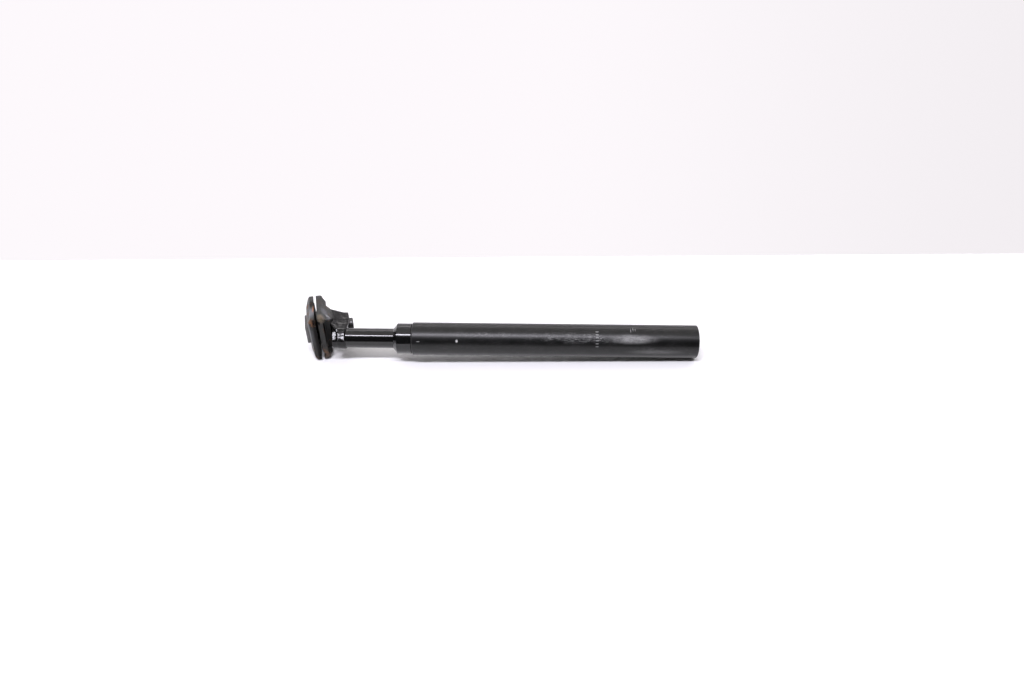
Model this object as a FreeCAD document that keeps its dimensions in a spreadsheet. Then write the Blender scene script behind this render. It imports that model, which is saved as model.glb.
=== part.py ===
# Telescopic suspension seatpost, lying on its side.
# The post axis runs along X, with the saddle clamp towards -X and the end that goes into
# the bicycle frame towards +X. The saddle's left and right lie along Z, and its rear along +Y.
# The origin is on the post axis at the minimum insertion mark. Millimetres and degrees.

import FreeCAD, Part
import math
import os
import re

import Sketcher

Vector = FreeCAD.Vector

SIZES = {
    # outer tube
    "tube_outer": 34.9,
    "tube_bore": 28.4,
    "tube_length": 302.0,
    "tube_edge": 0.5,
    "insertion_mark": 105.0,
    "mouth_bore": 30.9,
    "mouth_depth": 14.0,
    # collar nut, its gasket and its wiper seal
    "collar_outer": 32.5,
    "collar_length": 19.2,
    "collar_nose": 23.4,
    "collar_bevel": 3.8,
    "collar_edge": 0.4,
    "collar_skirt": 12.0,
    "collar_clearance": 0.35,
    "thread_clearance": 0.05,
    "seal_inset": 5.0,
    "seal_width": 5.0,
    "seal_outer": 27.0,
    "seal_clearance": 0.1,
    "seal_lip": 1.4,
    "seal_relief": 0.8,
    "spanner_hole": 3.0,
    "spanner_depth": 1.5,
    "spanner_angle": 48.0,
    "spanner_holes": 2,
    "gasket_thickness": 0.8,
    "gasket_inset": 0.4,
    # guide bush, its keys and the top-out bumper
    "guide_length": 52.0,
    "guide_flange": 1.8,
    "guide_clearance": 0.04,
    "press_clearance": 0.02,
    "key_diameter": 3.0,
    "key_length": 14.0,
    "key_count": 3,
    "key_standoff": 0.2,
    "key_clearance": 0.04,
    "key_overrun": 2.0,
    "bumper_length": 12.0,
    "bumper_outer": 27.4,
    "bumper_clearance": 0.4,
    "bumper_waist": 1.4,
    # stanchion and the pieces at its lower end
    "stanchion_outer": 21.2,
    "stanchion_bore": 15.0,
    "stanchion_exposed": 50.0,
    "stanchion_tail": 2.8,
    "stanchion_edge": 0.6,
    "travel": 40.0,
    "slider_length": 18.0,
    "slider_seat_step": 1.2,
    "slider_clearance": 0.05,
    "circlip_width": 1.2,
    "circlip_depth": 0.7,
    "circlip_rim": 1.4,
    "circlip_opening": 5.0,
    "top_seat_flange": 4.0,
    "top_seat_outer": 25.0,
    "top_seat_spigot": 16.0,
    "top_seat_wall": 4.0,
    "seat_edge": 1.0,
    "boss_taper": 1.4,
    # spring, elastomer core and preload stack
    "spring_mean": 20.8,
    "spring_wire": 3.6,
    "spring_turns": 16,
    "closed_turn_gap": 0.5,
    "core_outer": 12.4,
    "core_clearance": 0.3,
    "core_waist": 1.0,
    "core_groove": 4.0,
    "cup_depth": 6.0,
    "low_seat_flange": 4.0,
    "low_seat_outer": 26.0,
    "low_seat_boss": 16.2,
    "low_seat_reach": 12.0,
    "low_seat_hole": 6.0,
    "spacer_length": 22.0,
    "spacer_outer": 24.0,
    "spacer_bore": 16.0,
    "plug_length": 18.0,
    "plug_recess": 4.0,
    "plug_edge": 1.0,
    "plug_hex": 10.0,
    "plug_hex_depth": 11.0,
    "preload_travel": 8.0,
    # forged head
    "socket_outer": 24.0,
    "socket_length": 14.5,
    "socket_depth": 12.5,
    "socket_step": 0.4,
    "neck_length": 9.0,
    "neck_round": 2.5,
    "boss_radius": 9.7,
    "boss_offset": 27.4,
    "boss_wall": 2.6,
    "boss_rise": 2.7,
    "egg_split": 30.0,
    "rail_distance": 33.5,
    "setback": 16.0,
    "clamp_tilt": 12.5,
    "cradle_radius": 24.0,
    "cradle_clearance": 0.05,
    "cradle_rim": 12.9,
    "cradle_length": 29.0,
    "cradle_width": 30.0,
    "cradle_corner": 4.0,
    "washer_floor": 33.0,
    "recess_width": 14.8,
    "recess_gap": 0.3,
    "tilt_inward": 5.0,
    "tilt_outward": 4.0,
    # clamp bolt, washers and nut plate
    "bolt_diameter": 8.0,
    "bolt_clearance": 0.3,
    "bolt_head": 12.6,
    "bolt_head_height": 6.6,
    "bolt_head_edge": 0.8,
    "bolt_hex": 6.0,
    "bolt_hex_depth": 4.0,
    "flat_washer_outer": 13.6,
    "flat_washer_thickness": 1.6,
    "curved_washer": 2.8,
    "curved_washer_length": 11.0,
    "curved_washer_width": 11.4,
    "nut_size": 22.0,
    "nut_thickness": 6.5,
    "nut_proud": 3.2,
    "nut_clearance": 0.2,
    "nut_edge": 1.0,
    # rail clamps
    "rail_diameter": 7.0,
    "rail_spacing": 44.0,
    "clamp_gap": 2.7,
    "clamp_length": 40.5,
    "clamp_width": 59.0,
    "clamp_corner": 3.0,
    "lower_depth": 15.5,
    "lower_tip": 6.5,
    "lower_wing": 4.2,
    "lower_foot": 29.0,
    "land_width": 36.0,
    "land_length": 14.4,
    "land_gap": 0.4,
    "pocket_width": 44.0,
    "pocket_floor": 5.0,
    "centre_block": 18.0,
    "upper_thickness": 9.0,
    "upper_edge": 6.5,
    "upper_flat": 24.5,
    "upper_wing": 3.8,
    "upper_back": 40.0,
}

# Lengths and places that follow from the sizes above, written as formulas of them.
PLACES = {
    "mouth_x": "insertion_mark - tube_length",
    "collar_front": "(collar_length + gasket_thickness)",
    "head_face_x": "(insertion_mark - tube_length - gasket_thickness - collar_length - stanchion_exposed)",
    "guide_end": "(mouth_depth + guide_length)",
    "key_centre": "(stanchion_outer / 2 + key_standoff)",
    "key_start": "(mouth_depth + guide_length - key_length)",
    "bumper_end": "(mouth_depth + guide_length + bumper_length)",
    "seat_neck": "(stanchion_outer / 2 - slider_seat_step)",
    "circlip_start": "(mouth_depth + guide_length + bumper_length + slider_length)",
    "stanchion_inside": "(circlip_start + circlip_width + stanchion_tail)",
    "spring_start": "(stanchion_inside + top_seat_flange)",
    "plug_start": "(tube_length - plug_recess - plug_length)",
    "spacer_start": "(plug_start - spacer_length)",
    "low_seat_start": "(plug_start - spacer_length - low_seat_flange)",
    "spring_length": "(low_seat_start - spring_start)",
    "half_gap": "(clamp_gap / 2)",
    "arc_centre": "(lower_depth + clamp_gap / 2 - cradle_radius)",
    "bolt_seat": "(arc_floor + cradle_clearance + curved_washer + flat_washer_thickness)",
    "arc_floor": "(lower_depth + clamp_gap / 2 - cradle_radius + washer_floor)",
    "nut_inner": "(clamp_gap / 2 + upper_thickness + nut_proud - nut_thickness)",
    "nut_outer": "(clamp_gap / 2 + upper_thickness + nut_proud)",
    "lip_reach": "(cradle_radius - lower_depth + lower_tip)",
}

WORD = re.compile(r"[a-z][a-z_]*[a-z]")

# Points closer together than this count as one place.
NEAR = 1e-4


def formula(text):
    """Write out the places in a formula and point every size at its cell in the sheet."""
    for _ in PLACES:
        text = WORD.sub(lambda word: PLACES.get(word.group(), word.group()), text)
    return WORD.sub(lambda word: "Sizes." + word.group() if word.group() in SIZES else word.group(), text)


doc = FreeCAD.newDocument("seatpost")
sheet = doc.addObject("Spreadsheet::Sheet", "Sizes")
for row, (name, value) in enumerate(SIZES.items(), start=1):
    sheet.set(f"A{row}", name)
    sheet.set(f"B{row}", str(value))
    sheet.setAlias(f"B{row}", name)
doc.recompute()


def worth(text):
    """The present value of a formula."""
    return float(sheet.evalExpression(formula(text).replace("Sizes.", "")))


def bind(thing, property_name, text):
    thing.setExpression(property_name, formula(text))


def body_named(label, along="0", tilted=False):
    """A body on the post axis, or in the clamp's own tilted frame at the middle of the rails."""
    body = doc.addObject("PartDesign::Body", label)
    body.Label = label
    if tilted:
        body.Placement = FreeCAD.Placement(Vector(), FreeCAD.Rotation(Vector(0, 0, 1), 1))
        bind(body, "Placement.Rotation.Angle", "clamp_tilt")
        bind(body, "Placement.Base.x", "head_face_x - rail_distance")
        bind(body, "Placement.Base.y", "setback")
    else:
        bind(body, "Placement.Base.x", along)
    return body


def sketch_on(body, plane, lift="0"):
    """An empty sketch on one of the body's own origin planes, moved along its normal."""
    sketch = body.newObject("Sketcher::SketchObject", body.Label + "_sketch")
    support = [item for item in body.Origin.OriginFeatures if item.Role == plane][0]
    sketch.AttachmentSupport = (support, [""])
    sketch.MapMode = "FlatFace"
    bind(sketch, "AttachmentOffset.Base.z", lift)
    return sketch


def fix_point(sketch, edge, end, x, y):
    """Tie one end of an edge to its two formulas."""
    for kind, text in (("DistanceX", x), ("DistanceY", y)):
        number = sketch.addConstraint(Sketcher.Constraint(kind, -1, 1, edge, end, worth(text)))
        bind(sketch, f"Constraints[{number}]", text)


def arc_between(start, end, radius):
    """The short arc from start to end, with its centre to the left for a positive radius."""
    chord = end - start
    half = chord.Length / 2
    height = math.sqrt(max(radius * radius - half * half, 0))
    side = Vector(-chord.y, chord.x, 0).normalize() * math.copysign(1, radius)
    centre = (start + end) / 2 + side * height
    first = start if radius > 0 else end
    last = end if radius > 0 else start
    from_angle = math.atan2(first.y - centre.y, first.x - centre.x)
    to_angle = math.atan2(last.y - centre.y, last.x - centre.x)
    if to_angle < from_angle:
        to_angle += 2 * math.pi
    circle = Part.Circle(centre, Vector(0, 0, 1), abs(radius))
    return Part.ArcOfCircle(circle, from_angle, to_angle)


def outline(sketch, corners):
    """Close a chain of corners (x, y), or (x, y, radius) where an arc leaves the corner."""
    points = [Vector(worth(corner[0]), worth(corner[1]), 0) for corner in corners]
    first = sketch.GeometryCount
    count = len(corners)
    starts = []
    for index, corner in enumerate(corners):
        after = points[(index + 1) % count]
        if len(corner) == 3:
            radius = worth(corner[2])
            sketch.addGeometry(arc_between(points[index], after, radius))
            starts.append(1 if radius > 0 else 2)
        else:
            sketch.addGeometry(Part.LineSegment(points[index], after))
            starts.append(1)
    for index, corner in enumerate(corners):
        edge = first + index
        following = (index + 1) % count
        end = 3 - starts[index]
        joint = Sketcher.Constraint("Coincident", edge, end, first + following, starts[following])
        sketch.addConstraint(joint)
        fix_point(sketch, edge, starts[index], corner[0], corner[1])
        if len(corner) == 3:
            radius = corner[2].lstrip("-")
            number = sketch.addConstraint(Sketcher.Constraint("Radius", edge, worth(radius)))
            bind(sketch, f"Constraints[{number}]", radius)
    return sketch


def ring(sketch, x, y, radius):
    """Add a circle to a sketch."""
    edge = sketch.GeometryCount
    centre = Vector(worth(x), worth(y), 0)
    sketch.addGeometry(Part.Circle(centre, Vector(0, 0, 1), worth(radius)))
    fix_point(sketch, edge, 3, x, y)
    number = sketch.addConstraint(Sketcher.Constraint("Radius", edge, worth(radius)))
    bind(sketch, f"Constraints[{number}]", radius)
    return sketch


def turned(label, corners, along):
    """A turned piece: a half section of (along the post, radius), revolved about the post axis."""
    body = body_named(label, along)
    sketch = outline(sketch_on(body, "XY_Plane"), corners)
    turn = body.newObject("PartDesign::Revolution", label + "_turn")
    turn.Profile = sketch
    turn.ReferenceAxis = (sketch, ["H_Axis"])
    turn.Angle = 360
    return body


def pad(body, sketch, length, symmetric=False, backwards=False):
    feature = body.newObject("PartDesign::Pad", body.Label + "_pad")
    feature.Profile = sketch
    feature.SideType = "Symmetric" if symmetric else "One side"
    feature.Reversed = backwards
    bind(feature, "Length", length)
    return feature


def pocket(body, sketch, length, symmetric=False, backwards=False):
    """Cut a sketch out of the body and check that something was cut."""
    doc.recompute()
    before = body.Shape.Volume
    feature = body.newObject("PartDesign::Pocket", body.Label + "_pocket")
    feature.Profile = sketch
    feature.SideType = "Symmetric" if symmetric else "One side"
    feature.Reversed = backwards
    bind(feature, "Length", length)
    doc.recompute()
    if not body.Shape.Volume < before - NEAR:
        raise RuntimeError(f"{feature.Name} cuts nothing")
    return feature


def edges_where(shape, test):
    """Names of the edges whose two ends and middle all pass a test."""
    names = []
    for number, edge in enumerate(shape.Edges, start=1):
        first, last = edge.ParameterRange
        spots = [edge.valueAt(first), edge.valueAt((first + last) / 2), edge.valueAt(last)]
        if all(test(spot) for spot in spots):
            names.append(f"Edge{number}")
    return names


def dress(body, kind, amount, test):
    """Fillet or chamfer the body's edges that pass a test."""
    doc.recompute()
    base = body.Tip
    feature = body.newObject("PartDesign::" + kind, body.Label + "_" + kind.lower())
    feature.Base = (base, edges_where(base.Shape, test))
    bind(feature, "Radius" if kind == "Fillet" else "Size", amount)
    doc.recompute()
    return feature


def around(body, feature, count):
    """Repeat a feature round the post axis."""
    pattern = body.newObject("PartDesign::PolarPattern", body.Label + "_pattern")
    pattern.Originals = [feature]
    pattern.Axis = (body.Origin.OriginFeatures[0], [""])
    pattern.Angle = 360
    bind(pattern, "Occurrences", count)
    body.Tip = pattern
    return pattern


def hexagon(sketch, width):
    """A hexagonal key socket of the given width across its flats."""
    reach = f"{width} / sqrt(3)"
    corners = []
    for step in range(6):
        angle = step * 60
        corners.append((f"{reach} * cos({angle})", f"{reach} * sin({angle})"))
    return outline(sketch, corners)


def outer_tube():
    return turned("outer_tube", [
        ("0", "mouth_bore / 2"),
        ("0", "tube_outer / 2 - tube_edge"),
        ("tube_edge", "tube_outer / 2"),
        ("tube_length - tube_edge", "tube_outer / 2"),
        ("tube_length", "tube_outer / 2 - tube_edge"),
        ("tube_length", "tube_bore / 2 + tube_edge"),
        ("tube_length - tube_edge", "tube_bore / 2"),
        ("mouth_depth", "tube_bore / 2"),
        ("mouth_depth", "mouth_bore / 2"),
    ], "mouth_x")


def collar_nut():
    bore = "stanchion_outer / 2 + collar_clearance"
    groove = "0 - gasket_thickness - collar_length + seal_inset"
    body = turned("collar_nut", [
        ("0 - collar_front", bore),
        ("0 - collar_front", "collar_nose / 2"),
        ("0 - collar_front + collar_bevel", "collar_outer / 2"),
        ("0 - gasket_thickness - collar_edge", "collar_outer / 2"),
        ("0 - gasket_thickness", "collar_outer / 2 - collar_edge"),
        ("0 - gasket_thickness", "mouth_bore / 2 - thread_clearance - gasket_inset"),
        ("0", "mouth_bore / 2 - thread_clearance - gasket_inset"),
        ("gasket_inset", "mouth_bore / 2 - thread_clearance"),
        ("collar_skirt", "mouth_bore / 2 - thread_clearance"),
        ("collar_skirt", bore),
        (groove + " + seal_width", bore),
        (groove + " + seal_width", "seal_outer / 2"),
        (groove, "seal_outer / 2"),
        (groove, bore),
    ], "mouth_x")
    hole = sketch_on(body, "XY_Plane", "collar_outer / 2 - spanner_depth")
    ring(hole, "0 - collar_front / 2", "0", "spanner_hole / 2")
    drilled = pocket(body, hole, "spanner_depth * 2", backwards=True)
    around(body, drilled, "spanner_holes")
    body.Placement = FreeCAD.Placement(Vector(), FreeCAD.Rotation(Vector(1, 0, 0), 1))
    bind(body, "Placement.Rotation.Angle", "spanner_angle - 90")
    bind(body, "Placement.Base.x", "mouth_x")
    return body


def collar_gasket():
    return turned("collar_gasket", [
        ("0 - gasket_thickness", "mouth_bore / 2 - thread_clearance - gasket_inset + press_clearance"),
        ("0 - gasket_thickness", "collar_outer / 2 - gasket_inset"),
        ("0", "collar_outer / 2 - gasket_inset"),
        ("0", "mouth_bore / 2 - thread_clearance - gasket_inset + press_clearance"),
    ], "mouth_x")


def wiper_seal():
    groove = "0 - collar_front + seal_inset"
    return turned("wiper_seal", [
        (groove + " + press_clearance", "seal_outer / 2 - press_clearance"),
        (groove + " + seal_width - press_clearance", "seal_outer / 2 - press_clearance"),
        (groove + " + seal_width - press_clearance", "stanchion_outer / 2 + seal_clearance + seal_relief"),
        (groove + " + seal_width / 2", "stanchion_outer / 2 + seal_clearance + seal_relief"),
        (groove + " + seal_lip", "stanchion_outer / 2 + seal_clearance"),
        (groove + " + press_clearance", "stanchion_outer / 2 + seal_clearance"),
    ], "mouth_x")


def upper_guide():
    body = turned("upper_guide", [
        ("mouth_depth - guide_flange", "stanchion_outer / 2 + guide_clearance"),
        ("mouth_depth - guide_flange", "mouth_bore / 2 - press_clearance"),
        ("mouth_depth", "mouth_bore / 2 - press_clearance"),
        ("mouth_depth", "tube_bore / 2 - press_clearance"),
        ("guide_end", "tube_bore / 2 - press_clearance"),
        ("guide_end", "stanchion_outer / 2 + guide_clearance"),
    ], "mouth_x")
    slot = sketch_on(body, "YZ_Plane", "guide_end")
    ring(slot, "key_centre", "0", "key_diameter / 2 + press_clearance")
    cut = pocket(body, slot, "key_length")
    around(body, cut, "key_count")
    return body


def key_pins():
    body = body_named("key_pin", "mouth_x")
    end = sketch_on(body, "YZ_Plane", "key_start + press_clearance")
    ring(end, "key_centre", "0", "key_diameter / 2")
    pin = pad(body, end, "key_length - 2 * press_clearance")
    pin.AllowMultiFace = True
    return body


def top_out_bumper():
    waist = "bumper_outer / 2 - bumper_waist"
    return turned("top_out_bumper", [
        ("guide_end", "stanchion_outer / 2 + bumper_clearance"),
        ("guide_end", "bumper_outer / 2"),
        ("guide_end + bumper_length / 4", "bumper_outer / 2"),
        ("guide_end + bumper_length / 2", waist),
        ("bumper_end - bumper_length / 4", "bumper_outer / 2"),
        ("bumper_end", "bumper_outer / 2"),
        ("bumper_end", "stanchion_outer / 2 + bumper_clearance"),
    ], "mouth_x")


def stanchion():
    top = "0 - collar_front - stanchion_exposed - socket_depth + press_clearance"
    groove_floor = "seat_neck - circlip_depth"
    body = turned("stanchion", [
        (top, "stanchion_bore / 2"),
        (top, "stanchion_outer / 2 - stanchion_edge"),
        (top + " + stanchion_edge", "stanchion_outer / 2"),
        ("bumper_end", "stanchion_outer / 2"),
        ("bumper_end", "seat_neck"),
        ("circlip_start", "seat_neck"),
        ("circlip_start", groove_floor),
        ("circlip_start + circlip_width", groove_floor),
        ("circlip_start + circlip_width", "seat_neck"),
        ("stanchion_inside", "seat_neck"),
        ("stanchion_inside", "stanchion_bore / 2"),
    ], "mouth_x")
    channel = sketch_on(body, "YZ_Plane", "key_start - travel - key_overrun")
    ring(channel, "key_centre", "0", "key_diameter / 2 + key_clearance")
    cut = pocket(body, channel, "tube_length", backwards=True)
    around(body, cut, "key_count")
    return body


def lower_slider():
    return turned("lower_slider", [
        ("bumper_end + press_clearance", "seat_neck + press_clearance"),
        ("bumper_end + press_clearance", "tube_bore / 2 - slider_clearance - tube_edge"),
        ("bumper_end + press_clearance + tube_edge", "tube_bore / 2 - slider_clearance"),
        ("circlip_start - press_clearance - tube_edge", "tube_bore / 2 - slider_clearance"),
        ("circlip_start - press_clearance", "tube_bore / 2 - slider_clearance - tube_edge"),
        ("circlip_start - press_clearance", "seat_neck + press_clearance"),
    ], "mouth_x")


def circlip():
    body = turned("circlip", [
        ("circlip_start + press_clearance", "seat_neck - circlip_depth + press_clearance"),
        ("circlip_start + press_clearance", "seat_neck + circlip_rim"),
        ("circlip_start + circlip_width - press_clearance", "seat_neck + circlip_rim"),
        ("circlip_start + circlip_width - press_clearance", "seat_neck - circlip_depth + press_clearance"),
    ], "mouth_x")
    opening = sketch_on(body, "YZ_Plane", "circlip_start - circlip_width")
    outline(opening, [
        ("0", "0 - circlip_opening / 2"),
        ("tube_bore", "0 - circlip_opening / 2"),
        ("tube_bore", "circlip_opening / 2"),
        ("0", "circlip_opening / 2"),
    ])
    pocket(body, opening, "circlip_width * 3", backwards=True)
    return body


def upper_spring_seat():
    return turned("upper_spring_seat", [
        ("stanchion_inside - top_seat_spigot", "stanchion_bore / 2 - top_seat_wall"),
        ("stanchion_inside - top_seat_spigot", "stanchion_bore / 2 - press_clearance - seat_edge"),
        ("stanchion_inside - top_seat_spigot + seat_edge", "stanchion_bore / 2 - press_clearance"),
        ("stanchion_inside", "stanchion_bore / 2 - press_clearance"),
        ("stanchion_inside", "top_seat_outer / 2"),
        ("spring_start", "top_seat_outer / 2"),
        ("spring_start", "low_seat_boss / 2"),
        ("spring_start + low_seat_reach / 2", "low_seat_boss / 2"),
        ("spring_start + low_seat_reach", "low_seat_boss / 2 - boss_taper"),
        ("spring_start + low_seat_reach", "stanchion_bore / 2 - top_seat_wall"),
    ], "mouth_x")


def lower_spring_seat():
    cup = "core_outer / 2 + press_clearance"
    boss_top = "low_seat_start - low_seat_reach"
    return turned("lower_spring_seat", [
        ("spacer_start", "low_seat_hole / 2"),
        ("spacer_start", "low_seat_outer / 2"),
        ("low_seat_start", "low_seat_outer / 2"),
        ("low_seat_start", "low_seat_boss / 2"),
        ("low_seat_start - low_seat_reach / 2", "low_seat_boss / 2"),
        (boss_top, "low_seat_boss / 2 - boss_taper"),
        (boss_top, cup),
        (boss_top + " + cup_depth", cup),
        (boss_top + " + cup_depth", "low_seat_hole / 2"),
    ], "mouth_x")


def elastomer_core():
    foot = "(low_seat_start - low_seat_reach + cup_depth)"
    tip = "(spring_start + low_seat_reach + travel + preload_travel + core_clearance)"
    waist = "core_outer / 2 - core_waist"
    third = f"({foot} - {tip}) / 3"
    return turned("elastomer_core", [
        (tip, "0"),
        (tip, waist),
        (f"{tip} + core_groove / 2", "core_outer / 2"),
        (f"{tip} + {third}", "core_outer / 2"),
        (f"{tip} + {third} + core_groove / 2", waist),
        (f"{tip} + {third} + core_groove", "core_outer / 2"),
        (f"{foot} - {third}", "core_outer / 2"),
        (f"{foot} - {third} + core_groove / 2", waist),
        (f"{foot} - {third} + core_groove", "core_outer / 2"),
        (foot, "core_outer / 2"),
        (foot, "0"),
    ], "mouth_x")


def preload_spacer():
    return turned("preload_spacer", [
        ("spacer_start", "spacer_bore / 2"),
        ("spacer_start", "spacer_outer / 2 - tube_edge"),
        ("spacer_start + tube_edge", "spacer_outer / 2"),
        ("plug_start - tube_edge", "spacer_outer / 2"),
        ("plug_start", "spacer_outer / 2 - tube_edge"),
        ("plug_start", "spacer_bore / 2"),
    ], "mouth_x")


def preload_plug():
    body = turned("preload_plug", [
        ("plug_start", "0"),
        ("plug_start", "tube_bore / 2 - thread_clearance - plug_edge"),
        ("plug_start + plug_edge", "tube_bore / 2 - thread_clearance"),
        ("plug_start + plug_length - plug_edge", "tube_bore / 2 - thread_clearance"),
        ("plug_start + plug_length", "tube_bore / 2 - thread_clearance - plug_edge"),
        ("plug_start + plug_length", "0"),
    ], "mouth_x")
    socket = sketch_on(body, "YZ_Plane", "plug_start + plug_length")
    hexagon(socket, "plug_hex")
    pocket(body, socket, "plug_hex_depth")
    return body


def biarc(start, heading, end, end_heading):
    """Two arcs that leave start along heading, meet smoothly and reach end along end_heading."""
    across = end - start
    both = heading + end_heading
    bend = 4 - both.dot(both)
    slope = 2 * across.dot(both)
    step = (math.sqrt(slope * slope + 4 * bend * across.dot(across)) - slope) / (2 * bend)
    first_corner = start + heading * step
    last_corner = end - end_heading * step
    middle = (first_corner + last_corner) / 2
    arcs = []
    for begin, corner, finish in ((start, first_corner, middle), (middle, last_corner, end)):
        chord_middle = (begin + finish) / 2
        drop = (corner - chord_middle).Length
        half_chord = (finish - begin).Length / 2
        half_turn = math.atan2(drop, half_chord)
        radius = half_chord / math.sin(half_turn)
        crown = corner + (chord_middle - corner).normalize() * (radius / math.cos(half_turn) - radius)
        arcs.append(Part.Arc(begin, crown, finish).toShape())
    return arcs


def main_spring():
    """A wound spring with closed, ground ends, as one tube along a helix of quarter turns."""
    wire = worth("spring_wire")
    radius = worth("spring_mean") / 2
    length = worth("spring_length")
    active_turns = int(worth("spring_turns"))
    closed_pitch = wire + worth("closed_turn_gap")
    ground = wire / 4
    active_pitch = (length - 2 * ground - 2 * closed_pitch) / active_turns
    pitches = [closed_pitch] * 4 + [active_pitch] * (4 * active_turns) + [closed_pitch] * 4
    spots = []
    height = ground
    for quarter in range(len(pitches) + 1):
        angle = quarter * math.pi / 2
        near = pitches[max(quarter - 1, 0)]
        far = pitches[min(quarter, len(pitches) - 1)]
        rise = (near + far) / 2 / (2 * math.pi)
        place = Vector(height, radius * math.cos(angle), radius * math.sin(angle))
        heading = Vector(rise, -radius * math.sin(angle), radius * math.cos(angle)).normalize()
        spots.append((place, heading))
        if quarter < len(pitches):
            height += pitches[quarter] / 4
    edges = []
    for (place, heading), (after, after_heading) in zip(spots, spots[1:]):
        edges += biarc(place, heading, after, after_heading)
    path = Part.Wire(edges)
    section = Part.Wire([Part.Circle(spots[0][0], spots[0][1], wire / 2).toShape()])
    coil = path.makePipeShell([section], True, False)
    around_ends = Vector(0, -2 * radius, -2 * radius)
    for side in (-radius, length):
        block = Part.makeBox(radius, 4 * radius, 4 * radius, around_ends + Vector(side, 0, 0))
        coil = coil.cut(block)
    report_spring_gap(path, wire)
    feature = doc.addObject("Part::Feature", "main_spring")
    feature.Shape = coil
    feature.Placement = FreeCAD.Placement(Vector(worth("mouth_x") + worth("spring_start"), 0, 0),
                                          FreeCAD.Rotation())
    return feature


def report_spring_gap(path, wire):
    """Print the least gap between neighbouring turns, measured on points of the centre line."""
    turns = int(worth("spring_turns")) + 2
    turn = 80
    points = path.discretize(Number=turn * turns)
    least = min(
        (first - second).Length
        for index, first in enumerate(points)
        for second in points[index + turn // 2:index + turn + turn // 2]
    )
    print(f"main_spring least gap to itself {least - wire:.2f} mm")


def egg(sketch):
    """The neck's section: a round stanchion socket and a smaller round bolt boss, joined by tangents."""
    lean = "asin((socket_outer / 2 - boss_radius) / boss_offset)"
    big = "socket_outer / 2"
    return outline(sketch, [
        (f"{big} * sin({lean})", f"0 - {big} * cos({lean})"),
        (f"boss_offset + boss_radius * sin({lean})", f"0 - boss_radius * cos({lean})", "boss_radius"),
        ("boss_offset + boss_radius * cos(egg_split)", "0 - boss_radius * sin(egg_split)", "boss_radius"),
        ("boss_offset + boss_radius * cos(egg_split)", "boss_radius * sin(egg_split)", "boss_radius"),
        (f"boss_offset + boss_radius * sin({lean})", f"boss_radius * cos({lean})"),
        (f"{big} * sin({lean})", f"{big} * cos({lean})", big),
        (f"0 - {big} * cos(egg_split)", f"{big} * sin(egg_split)", big),
        (f"0 - {big} * cos(egg_split)", f"0 - {big} * sin(egg_split)", big),
    ])


def rounded_rectangle(sketch, half_length, half_width, corner, middle="0"):
    """A rectangle with quarter-round corners, starting on its lower side as the egg does."""
    left = f"{middle} - {half_length}"
    right = f"{middle} + {half_length}"
    return outline(sketch, [
        (f"{left} + {corner}", f"0 - {half_width}"),
        (f"{right} - {corner}", f"0 - {half_width}", corner),
        (right, f"0 - {half_width} + {corner}"),
        (right, f"{half_width} - {corner}", corner),
        (f"{right} - {corner}", half_width),
        (f"{left} + {corner}", half_width, corner),
        (left, f"{half_width} - {corner}"),
        (left, f"0 - {half_width} + {corner}", corner),
    ])


def head_blank():
    """The head's outside: an egg-shaped neck that flares into the tilted seat of the cradle."""
    body = body_named("head_blank", "head_face_x")
    pad(body, egg(sketch_on(body, "YZ_Plane")), "neck_length", backwards=True)
    doc.recompute()
    dress(body, "Fillet", "neck_round", lambda spot: abs(spot.x) < NEAR)
    cup = sketch_on(body, "YZ_Plane", "0 - neck_length / 2")
    ring(cup, "0", "0", "socket_outer / 2 - socket_step")
    pad(body, cup, "socket_length - neck_length / 2", backwards=True)
    start = egg(sketch_on(body, "YZ_Plane", "0 - neck_length"))
    rim = sketch_on(body, "YZ_Plane", "cradle_rim * cos(clamp_tilt) - rail_distance")
    rim.AttachmentOffset = FreeCAD.Placement(Vector(), FreeCAD.Rotation(Vector(0, 1, 0), 1))
    bind(rim, "AttachmentOffset.Rotation.Angle", "clamp_tilt")
    bind(rim, "AttachmentOffset.Base.x", "setback + cradle_rim * sin(clamp_tilt)")
    bind(rim, "AttachmentOffset.Base.z", "cradle_rim * cos(clamp_tilt) - rail_distance")
    rounded_rectangle(rim, "cradle_length / 2", "cradle_width / 2", "cradle_corner")
    loft = body.newObject("PartDesign::AdditiveLoft", "head_flare")
    loft.Profile = start
    loft.Sections = [rim]
    loft.Ruled = True
    doc.recompute()
    return body


def tilted_cylinder(name, radius, along):
    """A tall cylinder along Z whose centre lies on the bolt axis, a distance from the rails."""
    tool = doc.addObject("Part::Cylinder", name)
    bind(tool, "Radius", radius)
    bind(tool, "Height", "clamp_width * 2")
    bind(tool, "Placement.Base.x", f"head_face_x - rail_distance + ({along}) * cos(clamp_tilt)")
    bind(tool, "Placement.Base.y", f"setback + ({along}) * sin(clamp_tilt)")
    bind(tool, "Placement.Base.z", "0 - clamp_width")
    return tool


def prism(name, sketch_maker, plane_place, length):
    """A body padded from a sketch on its own YZ plane towards -X."""
    body = body_named(name, plane_place)
    pad(body, sketch_maker(sketch_on(body, "YZ_Plane")), length, backwards=True)
    return body


def boolean(kind, label, base, tool):
    feature = doc.addObject("Part::" + kind, label)
    feature.Base = base
    feature.Tool = tool
    feature.Label = label
    return feature


def recess_outline(sketch):
    """The bolt head's recess: square towards the stanchion, round towards the rear."""
    near = "socket_outer / 2 + recess_gap / 2"
    far = "boss_offset + boss_radius - boss_wall"
    half = "recess_width / 2"
    middle = f"{far} - {half}"
    return outline(sketch, [
        (near, f"0 - {half}"),
        (middle, f"0 - {half}", half),
        (far, "0", half),
        (middle, half),
        (near, half),
    ])


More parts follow.
